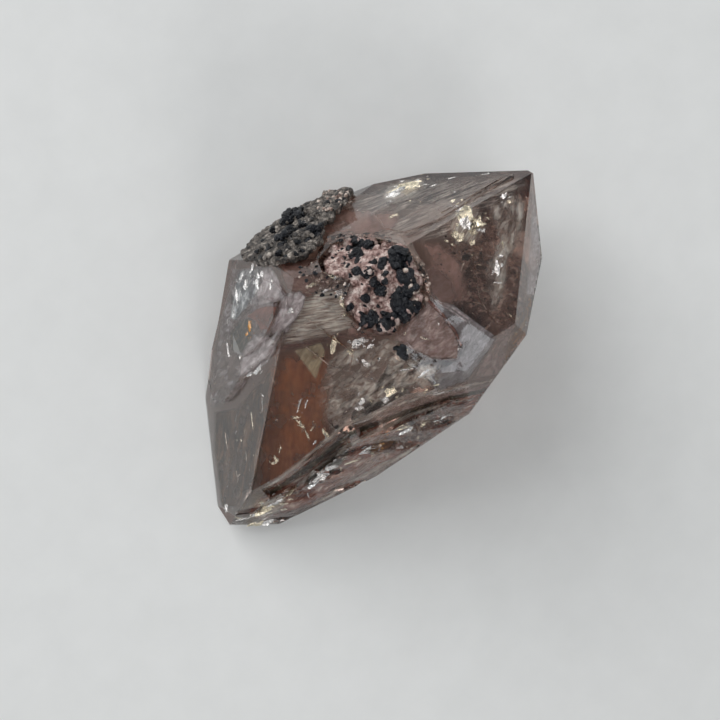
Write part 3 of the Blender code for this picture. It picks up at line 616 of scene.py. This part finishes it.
# Films: colour stops, streaks a millimetre along and across, how clear to how dense, pattern contrast
VEILS_AND_PAINTED_LIGHT = {
    "streaked": (((0.36, (0.06, 0.043, 0.036)), (0.49, (0.36, 0.30, 0.27)), (0.60, (1.0, 0.94, 0.86))),
                 (0.16, 1.7), (0.35, 0.95), (0.38, 0.62)),
    "speckled": (((0.34, (0.030, 0.016, 0.013)), (0.45, (0.17, 0.088, 0.066)), (0.56, (0.36, 0.225, 0.18)),
                  (0.66, (0.85, 0.70, 0.58))),
                 (1.0, 0.7), (0.40, 0.92), (0.34, 0.60)),
    # Pale cream to white: painted highlight in the flash films and the ridge lines, a pale film in the cream
    # patch
    "cream": (((0.36, (0.20, 0.12, 0.09)), (0.46, (0.60, 0.48, 0.40)), (0.57, (1.0, 0.97, 0.88))),
              (0.20, 2.2), (0.60, 1.0), (0.36, 0.56)),
    "rosy": (((0.35, (0.46, 0.25, 0.20)), (0.65, (0.72, 0.46, 0.40))),
             (0.25, 0.6), (0.50, 0.85), (0.3, 0.7)),
    "rosy_wisps": (((0.36, (0.30, 0.175, 0.15)), (0.50, (0.50, 0.35, 0.32)), (0.64, (0.88, 0.74, 0.70))),
                   (0.5, 1.1), (0.60, 1.05), (0.36, 0.64)),
    "amber": (((0.35, (0.33, 0.095, 0.025)), (0.65, (0.52, 0.185, 0.06))),
              (0.10, 0.5), (0.75, 1.05), (0.30, 0.70)),
    "dark_red": (((0.35, (0.09, 0.025, 0.018)), (0.65, (0.20, 0.07, 0.05))),
                 (0.2, 0.6), (0.40, 0.75), (0.3, 0.6)),
    "wispy": (((0.36, (0.26, 0.17, 0.135)), (0.46, (0.56, 0.47, 0.40)), (0.58, (1.0, 0.97, 0.90))),
              (0.4, 0.9), (0.30, 1.3), (0.42, 0.58)),
    # Grey: a painted bright reflection over the arrowhead
    "grey_haze": (((0.34, (0.14, 0.12, 0.12)), (0.50, (0.29, 0.265, 0.275)), (0.64, (0.52, 0.50, 0.53))),
                  (0.35, 0.8), (1.3, 1.7), (0.3, 0.6)),
    "rosy_cover": (((0.35, (0.20, 0.10, 0.075)), (0.65, (0.34, 0.21, 0.18))),
                   (0.5, 0.9), (1.3, 1.7), (0.3, 0.7)),
    # Ledges: dark red-brown painted reflection with pale streaks of painted highlight
    "ledges": (((0.38, (0.060, 0.012, 0.004)), (0.48, (0.27, 0.070, 0.038)), (0.56, (0.54, 0.27, 0.19)),
                (0.63, (1.0, 0.93, 0.82))),
               (0.22, 1.1), (0.75, 1.5), (0.36, 0.60)),
    # Red-brown: painted shade at the tongue's step and between the lobes
    "rust": (((0.35, (0.16, 0.05, 0.035)), (0.65, (0.42, 0.18, 0.13))),
             (0.3, 0.7), (0.9, 1.4), (0.3, 0.6)),
    # Near-black to grey-green: a painted shade line in ridge_shade, a dark film in lens_dark and lobe_moss
    "moss": (((0.36, (0.006, 0.005, 0.002)), (0.50, (0.045, 0.032, 0.015)), (0.60, (0.16, 0.12, 0.07)),
              (0.68, (0.60, 0.52, 0.40))),
             (0.4, 1.2), (0.9, 1.6), (0.30, 0.60)),
    "silver": (((0.36, (0.08, 0.09, 0.10)), (0.48, (0.30, 0.32, 0.35)), (0.58, (0.95, 0.98, 1.0))),
               (0.25, 1.0), (0.6, 1.3), (0.36, 0.60)),
    "pale_yellow": (((0.35, (0.50, 0.40, 0.24)), (0.65, (0.85, 0.76, 0.52))),
                    (0.4, 1.6), (0.65, 0.95), (0.3, 0.6)),
    # Upright fibres whose dark brown is a painted dark reflection on the low left face
    "dark_fibres": (((0.38, (0.020, 0.006, 0.0)), (0.52, (0.085, 0.035, 0.010)), (0.62, (0.22, 0.12, 0.06)),
                     (0.70, (0.75, 0.62, 0.46))),
                    (0.16, 0.8), (0.85, 1.5), (0.30, 0.60)),
    "golden": (((0.36, (0.06, 0.014, 0.0)), (0.52, (0.19, 0.065, 0.006)), (0.66, (0.48, 0.22, 0.05))),
               (0.35, 1.3), (0.8, 1.5), (0.34, 0.6)),
    "lavender": (((0.36, (0.07, 0.040, 0.035)), (0.50, (0.22, 0.18, 0.18)), (0.64, (0.75, 0.71, 0.76))),
                 (0.45, 0.9), (0.40, 0.95), (0.36, 0.62)),
    # Pale lavender: a painted bright reflection on the lobes, the arrowhead and the right face
    "lavender_bright": (((0.36, (0.38, 0.31, 0.31)), (0.50, (0.62, 0.54, 0.55)), (0.62, (1.0, 0.95, 0.96))),
                        (0.5, 1.0), (1.0, 1.5), (0.36, 0.62)),
}


def veil_and_painted_light_material(name):
    """A see-through film of wisps, fibres, crumbs, painted highlight, painted reflection or painted shade,
    denser in patches, that thins out to its rim.
    """
    stops, (along, across), (clear, dense), (low, high) = VEILS_AND_PAINTED_LIGHT[name]
    nodes = Nodes("veil_" + name, "UV")
    shader = nodes.shader
    grain = nodes.scaled((along, across, 1.0))
    fine = nodes.noise(grain, 2.6, detail=8.0, roughness=0.72, distortion=0.6)
    nodes.link(nodes.ramp(fine, stops), shader.inputs["Base Color"])
    broad = nodes.noise(grain, 1.1, detail=5.0, roughness=0.6, distortion=0.8)
    cover = nodes.spread(broad, low, high, clear, dense)
    patches = nodes.noise(nodes.scaled(), 0.55, detail=2.0)
    cover = nodes.math("MULTIPLY", cover, nodes.spread(patches, 0.38, 0.56, PATCH_LOW, 1.0))
    fade = nodes.add("ShaderNodeAttribute", attribute_name="fade").outputs["Fac"]
    nodes.link(nodes.math("MINIMUM", nodes.math("MULTIPLY", cover, fade), 1.0), shader.inputs["Alpha"])
    shader.inputs["Roughness"].default_value = 0.45
    nodes.link(nodes.bump(fine, 0.15, 0.6), shader.inputs["Normal"])
    return nodes.material


def cleft_material(name, colour):
    """The mirror-like inside wall of a cleft, rippled and a little cloudy."""
    nodes = Nodes("cleft_" + name)
    shader = nodes.shader
    cloud = nodes.noise(nodes.per_mm(), 2.5, detail=5.0)
    faded = tuple(0.55 * part for part in colour)
    nodes.link(nodes.ramp(cloud, ((0.35, faded), (0.6, colour))), shader.inputs["Base Color"])
    shader.inputs["Metallic"].default_value = 0.9
    nodes.link(nodes.spread(cloud, 0.3, 0.7, 0.14, 0.34), shader.inputs["Roughness"])
    nodes.link(nodes.bump(cloud, 0.12, 0.7), shader.inputs["Normal"])
    return nodes.material


def stony_material(name, stops, scale, rough, bump_mm, gloss=0.5):
    """Crumbly crust or grain: blotched colour, pitted relief."""
    nodes = Nodes(name)
    shader = nodes.shader
    blotch = nodes.noise(nodes.per_mm(), scale, detail=7.0, roughness=0.68)
    nodes.link(nodes.ramp(blotch, stops), shader.inputs["Base Color"])
    nodes.link(nodes.spread(blotch, 0.3, 0.75, rough[0], rough[1]), shader.inputs["Roughness"])
    shader.inputs["Specular IOR Level"].default_value = gloss
    grit = nodes.noise(nodes.per_mm(), 4.0, detail=6.0, roughness=0.72)
    faceted = nodes.cells(nodes.per_mm(), 5.0)
    nodes.link(nodes.bump(nodes.math("ADD", grit, faceted), bump_mm, 0.9), shader.inputs["Normal"])
    return nodes.material


# Colour stops of the crusts and grains
BLACK = ((0.42, (0.003, 0.004, 0.007)), (0.62, (0.012, 0.014, 0.020)), (0.74, (0.09, 0.09, 0.10)))
MATRIX = ((0.34, (0.024, 0.014, 0.014)), (0.42, (0.23, 0.130, 0.112)), (0.51, (0.50, 0.340, 0.31)),
          (0.61, (0.90, 0.76, 0.70)))
ROUGH_GREY = ((0.36, (0.008, 0.008, 0.010)), (0.46, (0.055, 0.048, 0.044)), (0.55, (0.19, 0.165, 0.145)),
              (0.66, (0.60, 0.54, 0.48)))
PALE = ((0.34, (0.14, 0.09, 0.075)), (0.48, (0.44, 0.32, 0.27)), (0.60, (0.80, 0.70, 0.62)))


def floor_material():
    """Plain pale paint with the faint stipple of a roller."""
    nodes = Nodes("pale_floor")
    stipple = nodes.noise(nodes.per_mm(), 0.25, detail=3.0)
    nodes.link(nodes.ramp(stipple, ((0.3, (0.80, 0.81, 0.805)), (0.7, (0.83, 0.84, 0.835)))),
               nodes.shader.inputs["Base Color"])
    nodes.shader.inputs["Roughness"].default_value = 0.75
    nodes.link(nodes.bump(stipple, 0.05, 0.4), nodes.shader.inputs["Normal"])
    return nodes.material


def clean_copy(node):
    """The CAD node's mesh with its split corners and flat triangles merged."""
    bm = bmesh.new()
    bm.from_mesh(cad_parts[node].data)
    bmesh.ops.remove_doubles(bm, verts=bm.verts[:], dist=WELD_M)
    bmesh.ops.dissolve_limit(bm, angle_limit=math.radians(FLAT_DEG), verts=bm.verts[:], edges=bm.edges[:])
    return bm


def make_quartz():
    """The crystal with worn edges a few hundredths of a millimetre wide."""
    piece = add_piece("quartz", clean_copy("quartz_crystal"), quartz_material())
    bevel = piece.modifiers.new("worn_edges", "BEVEL")
    bevel.width = WORN_EDGE_MM * MM
    bevel.segments = 2
    bevel.limit_method = "ANGLE"
    bevel.angle_limit = math.radians(WORN_FROM_DEG)
    bevel.use_clamp_overlap = True
    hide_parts("quartz_crystal")


def remeshed(node, material):
    """A CAD node's solid as a bmesh of small even faces."""
    shell = add_mesh(node + "_shell", clean_copy(node), material)
    remesh = shell.modifiers.new("fine", "REMESH")
    remesh.mode = "VOXEL"
    remesh.voxel_size = VOXEL_MM * MM
    bpy.context.view_layer.update()
    fine = bpy.data.meshes.new_from_object(shell.evaluated_get(bpy.context.evaluated_depsgraph_get()))
    bpy.data.objects.remove(shell)
    bm = bmesh.new()
    bm.from_mesh(fine)
    bpy.data.meshes.remove(fine)
    return bm


def make_crust(node, material, grow_mm, shift):
    """A crust grown out to the walls it sits on and roughened into lumps and pits, inside the CAD box."""
    bm = remeshed(node, material)
    moves = []
    for vertex in bm.verts:
        spot = vertex.co / MM + shift
        lump = noise.fractal(spot * 1.1, 1.0, 2.0, 4) + 0.5 * noise.fractal(spot * 3.5, 0.8, 2.1, 3)
        seat = QUARTZ.find_nearest(vertex.co)[3] / MM
        seated = max(0.0, min(1.0, (SEAT_FROM_MM - seat) / SEAT_FADE_MM))
        grow = grow_mm + (SEAT_GROW_MM - grow_mm) * seated
        moves.append(vertex.normal * (grow + LUMP_MM * lump) * MM)
    for vertex, move in zip(bm.verts, moves):
        moved = vertex.co + move
        vertex.co = [max(low, min(high, value)) for low, value, high in zip(CAD_BOX[0], moved, CAD_BOX[1])]
    piece = add_piece(node + "_matrix", bm, material)
    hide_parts(node)


def keep_in_box(verts):
    """Shift points together so that none is outside the crystal's own box."""
    low, high = CAD_BOX
    for axis in range(3):
        over = max(v.co[axis] for v in verts) - (high[axis] - BOX_MARGIN_MM * MM)
        under = (low[axis] + BOX_MARGIN_MM * MM) - min(v.co[axis] for v in verts)
        shift = -over if over > 0 else under if under > 0 else 0.0
        for vertex in verts:
            vertex.co[axis] += shift


def nugget(bm, centre, radius_mm, rng, up=None, facets=10, detail=3):
    """A many-faced grain: a ball cut by random planes, pitted, and flattened along a direction."""
    planes = []
    for _ in range(facets):
        normal = random_vector(lambda: rng.gauss(0, 1)).normalized()
        planes.append((normal, rng.uniform(*GRAIN_PLANES)))
    ball = bmesh.ops.create_icosphere(bm, subdivisions=detail, radius=1.0)["verts"]
    shift = random_vector(lambda: rng.uniform(0, 50))
    stretch = Vector((rng.uniform(0.85, 1.25), rng.uniform(0.85, 1.25), rng.uniform(0.85, 1.15)))
    for vertex in ball:
        way = vertex.co.normalized()
        reach = min([1.0] + [height / way.dot(normal) for normal, height in planes if way.dot(normal) > 0.2])
        reach += GRAIN_PITS * noise.fractal(way * 3.5 + shift, 0.8, 2.1, 4)
        offset = Vector([a * b for a, b in zip(way * reach, stretch)])
        if up:
            offset -= (1.0 - GRAIN_HEIGHT) * offset.dot(up) * up
        vertex.co = centre + offset * radius_mm * MM
    keep_in_box(ball)


def clustered(places, rng):
    """Places and sizes, with each big grain as a ring of smaller ones."""
    parts = []
    for x, y, size in places:
        if size <= CLUSTER_FROM_PX:
            parts.append((x, y, size))
            continue
        for k in range(CLUSTER_OF):
            around = 2 * math.pi * (k + rng.random() * 0.6) / CLUSTER_OF
            away = rng.uniform(*CLUSTER_REACH) * size
            parts.append((x + away * math.cos(around), y + away * math.sin(around),
                          size * rng.uniform(*CLUSTER_SIZES)))
    return parts


def make_grains(name, places, material, seed, detail=3):
    """One piece of many grains, each thrown from its picture place onto the crystal or a crust."""
    rng = random.Random(seed)
    bm = bmesh.new()
    for x, y, radius_px in clustered(places, rng):
        radius = GRAIN_SWELL * radius_px / PIXELS_PER_MM
        point, normal, _, _ = OUTSIDE.ray_cast(EYE, sight((x, y)))
        if point is not None:
            centre = point + normal * GRAIN_HEIGHT * radius * MM * (1.0 - 2.0 * GRAIN_SINK)
            nugget(bm, centre, radius, rng, normal, detail=detail)
    add_piece(name, bm, material)


def scattered(outline, count, sizes, rng, ragged=0.0):
    """Random places and sizes inside an outline, or up to so many ragged pixels outside it."""
    xs, ys = zip(*outline)
    places = []
    while len(places) < count:
        spot = (rng.uniform(min(xs) - ragged, max(xs) + ragged),
                rng.uniform(min(ys) - ragged, max(ys) + ragged))
        if within(spot, outline) or (ragged and edge_distance(spot, outline) < rng.uniform(0, ragged)):
            places.append((*spot, rng.uniform(*sizes) if rng.random() < 0.7 else sizes[0]))
    return places


def film_points(bm, outline, depth, soft, step):
    """A grid of points inside the crystal under an outline: each one's vertex and pixel by its cell."""
    fades = bm.verts.layers.float.new("fade")
    xs, ys = zip(*outline)
    middle = (sum(xs) / len(outline), sum(ys) / len(outline))
    _, normal, _, _ = QUARTZ.ray_cast(EYE, sight(middle))
    grid = {}
    for i in range(int(min(xs) / step) - 1, int(max(xs) / step) + 2):
        for j in range(int(min(ys) / step) - 1, int(max(ys) / step) + 2):
            x, y = pixel = (i * step, j * step)
            near = edge_distance(pixel, outline)
            if not within(pixel, outline) and near > step:
                continue
            ripple = WAVER * depth * noise.noise(Vector((x * WAVER_PER_PX, y * WAVER_PER_PX, depth)))
            place = inside(pixel, depth + ripple, normal)
            if place is None:
                continue
            vertex = bm.verts.new(place)
            vertex[fades] = min(1.0, near / soft) if within(pixel, outline) else 0.0
            grid[i, j] = vertex, pixel
    return grid


def make_film(name, kind, angle, depth, soft, outline, materials):
    """A thin curved film under the surface, with its streaks along one direction of the picture."""
    bm = bmesh.new()
    streaks = bm.loops.layers.uv.new("streaks")
    grid = film_points(bm, outline, depth, soft, FINE_GRID_PX if soft <= SHARP_EDGE_PX else GRID_PX)
    turn = math.radians(angle)
    for i, j in grid:
        corners = [grid.get(key) for key in ((i, j), (i + 1, j), (i + 1, j + 1), (i, j + 1))]
        if None in corners:
            continue
        face = bm.faces.new([vertex for vertex, _ in corners])
        for loop, (_, (x, y)) in zip(face.loops, corners):
            right = (x - SEED_PX[0]) / PIXELS_PER_MM
            up = -(y - SEED_PX[1]) / PIXELS_PER_MM
            loop[streaks].uv = (right * math.cos(turn) + up * math.sin(turn),
                                up * math.cos(turn) - right * math.sin(turn))
    bmesh.ops.delete(bm, geom=[v for v in bm.verts if not v.link_faces], context="VERTS")
    if kind not in materials:
        materials[kind] = veil_and_painted_light_material(kind)
    add_piece(name, bm, materials[kind])


def cleft_places(rng):
    """The listed clefts with the splinters round them, and small ones strewn through the veils."""
    places = []
    for x, y, length, width, angle, depth, tone in CLEFTS:
        places.append((x, y, length, width, angle, depth, tone))
        for _ in range(SPLINTERS):
            turn = math.radians(angle)
            along = rng.gauss(0, SPLINTER_SPREAD[0]) * length
            across = rng.gauss(0, SPLINTER_SPREAD[1]) * width
            places.append((x + along * math.cos(turn) - across * math.sin(turn),
                           y - along * math.sin(turn) - across * math.cos(turn),
                           length * rng.uniform(*SPLINTER_LENGTH), width * rng.uniform(*SPLINTER_WIDTH),
                           angle + rng.gauss(0, SPLINTER_TURN_DEG),
                           depth * rng.uniform(*SPLINTER_DEPTH), tone))
    for region, count, deepest in CLEFT_FIELDS:
        for x, y, size in scattered(REGIONS[region], count, (1.0, 4.2), rng):
            places.append((x, y, size * rng.uniform(1.0, 3.0), size * rng.uniform(0.25, 0.7),
                           rng.uniform(0, 180), rng.uniform(0.15, deepest),
                           rng.choice(("white", "gold", "dim", "dim"))))
    return places


def cleft_facing(pixel, rng):
    """The way a cleft's wall has to face to send the window's or the fill's light to the camera."""
    direction = sight(pixel)
    _, normal, _, _ = QUARTZ.ray_cast(EYE, direction)
    view = -refracted(direction, normal)
    side = max(WINDOW_SIDE, FILL_SIDE, key=normal.dot)
    light = -refracted(-side, normal) if side.dot(normal) > GRAZING else view
    return (view + light + random_vector(lambda: rng.gauss(0, CLEFT_TILT))).normalized()


def add_cleft(bm, centre, facing, length, width, angle, rng):
    """A ragged, slightly raised flake, with its long and short size in pixels."""
    turn = math.radians(angle)
    along = math.cos(turn) * PHOTO_RIGHT + math.sin(turn) * PHOTO_UP
    along = (along - facing * along.dot(facing)).normalized()
    across = facing.cross(along)
    ring = []
    for k in range(CLEFT_CORNERS):
        around = 2 * math.pi * k / CLEFT_CORNERS
        reach = rng.uniform(*CLEFT_REACH)
        offset = (along * math.cos(around) * length + across * math.sin(around) * width) * 0.5 * reach
        ring.append(bm.verts.new(centre + offset / PIXELS_PER_MM * MM))
    crown = bm.verts.new(centre + facing * CLEFT_CROWN_MM * MM)
    keep_in_box(ring + [crown])
    for k in range(CLEFT_CORNERS):
        bm.faces.new((crown, ring[k], ring[(k + 1) % CLEFT_CORNERS]))


def make_clefts():
    """Small bright and dark walls inside the crystal, one piece for each tone."""
    pieces = {tone: bmesh.new() for tone in CLEFT_TONES}
    rng = random.Random(CLEFT_SEED)
    for x, y, length, width, angle, depth, tone in cleft_places(rng):
        centre = inside((x, y), depth)
        if centre is not None:
            add_cleft(pieces[tone], centre, cleft_facing((x, y), rng), length, width, angle, rng)
    for tone, bm in pieces.items():
        add_piece("clefts_" + tone, bm, cleft_material(tone, CLEFT_TONES[tone]))


def make_specks():
    """Dark specks inside the tip, the band, the low left face and the front."""
    rng = random.Random(SPECK_SEED)
    bm = bmesh.new()
    for region, count, deepest in SPECK_FIELDS:
        for x, y, size in scattered(REGIONS[region], count, (0.8, 2.8), rng):
            centre = inside((x, y), rng.uniform(0.3, deepest))
            if centre is not None:
                nugget(bm, centre, 0.5 * size / PIXELS_PER_MM, rng, facets=8, detail=1)
    add_piece("dark_specks", bm, stony_material("dark_specks", BLACK, 1.5, (0.2, 0.5), 0.02))


def make_floor():
    """A wide pale surface under the crystal."""
    bm = bmesh.new()
    bmesh.ops.create_grid(bm, x_segments=8, y_segments=8, size=FLOOR_HALF_M)
    floor = add_mesh("floor", bm, floor_material())
    floor.location.z = -FLOOR_GAP_MM * MM


def make_camera():
    """The photograph's view: nearly straight down on the front prism face, rolled as it was held."""
    data = bpy.data.cameras.new("camera")
    data.sensor_width = SENSOR_MM
    data.lens = PIXELS_PER_MM * CAMERA_MM * SENSOR_MM / IMAGE_PX
    data.clip_start = 0.005
    camera = add_object("camera", data)
    back = -sight((IMAGE_PX / 2, IMAGE_PX / 2))
    right = PHOTO_UP.cross(back).normalized()
    up = back.cross(right)
    turned = Matrix((right, up, back)).transposed().to_4x4()
    turned.translation = EYE
    camera.matrix_world = turned
    bpy.context.scene.camera = camera


def area_light(name, place, size, power, colour=(1.0, 1.0, 1.0)):
    """A soft panel that looks at the crystal."""
    data = bpy.data.lights.new(name, "AREA")
    data.shape = "RECTANGLE"
    data.size, data.size_y = size
    data.energy = power
    data.color = colour
    light = add_object(name, data)
    light.location = place
    light.rotation_euler = (place - SEED).to_track_quat("Z", "Y").to_euler()


def make_lights():
    """A window at upper left, a fill at lower right, a panel for the front face, and an even room."""
    area_light("window", SEED + WINDOW_SIDE * WINDOW_AWAY, WINDOW_SIZE, WINDOW_POWER)
    area_light("fill", SEED + FILL_SIDE * FILL_AWAY, FILL_SIZE, FILL_POWER, FILL_COLOUR)
    area_light("panel", PANEL_PLACE, PANEL_SIZE, PANEL_POWER, PANEL_COLOUR)
    world = bpy.data.worlds.new("room")
    bpy.context.scene.world = world
    world.use_nodes = True
    back = world.node_tree.nodes["Background"]
    back.inputs["Color"].default_value = ROOM_COLOUR
    back.inputs["Strength"].default_value = ROOM_STRENGTH


def make_crusts():
    """The two crusts: the pocket's swollen a little, the shoulder's drawn in."""
    make_crust("pocket_crust", stony_material("pocket_matrix", MATRIX, 1.4, (0.4, 0.7), 0.12), 0.05,
               Vector((3.0, 6.0, 1.5)))
    make_crust("shoulder_crust", stony_material("shoulder_matrix", ROUGH_GREY, 1.5, (0.35, 0.7), 0.14), -0.08,
               Vector((7.0, 14.0, 3.5)))


def make_all_grains():
    """The listed black grains, and smaller crumbs strewn between and round them."""
    black = stony_material("black_grains", BLACK, 1.6, (0.12, 0.35), 0.09, gloss=0.4)
    pale = stony_material("pale_crumbs", PALE, 1.8, (0.3, 0.6), 0.06)
    rng = random.Random(CRUMB_SEED)
    make_grains("pocket_grains", POCKET_GRAINS, black, 1)
    make_grains("shoulder_grains", SHOULDER_GRAINS, black, 2)
    make_grains("pocket_crumbs", scattered(POCKET_PX, 190, (0.6, 1.7), rng, 4.0)
                + scattered(RIM_PX, 80, (1.2, 3.3), rng) + scattered(FRINGE_PX, 50, (0.5, 1.3), rng, 6.0),
                pale, 3, detail=2)
    make_grains("pocket_specks", scattered(FRINGE_PX, 36, (0.7, 2.2), rng, 8.0)
                + scattered(POCKET_PX, 60, (0.8, 2.2), rng) + scattered(CORNER_PX, 34, (0.8, 2.4), rng, 2.0),
                black, 5, detail=2)
    make_grains("shoulder_crumbs", scattered(SHOULDER_PX, 150, (1.0, 3.2), rng, 2.0),
                stony_material("shoulder_crumbs", ROUGH_GREY, 0.8, (0.3, 0.6), 0.06), 4,
                detail=2)
    make_grains("crest_crumbs", scattered(CREST_PX, 60, (1.0, 2.8), rng), pale, 6, detail=2)


bpy.context.scene.view_settings.view_transform = "Standard"
make_floor()
make_camera()
make_lights()
make_quartz()
make_crusts()
make_all_grains()
veil_and_painted_light_materials = {}
for film in FILMS:
    make_film(*film, veil_and_painted_light_materials)
make_clefts()
make_specks()
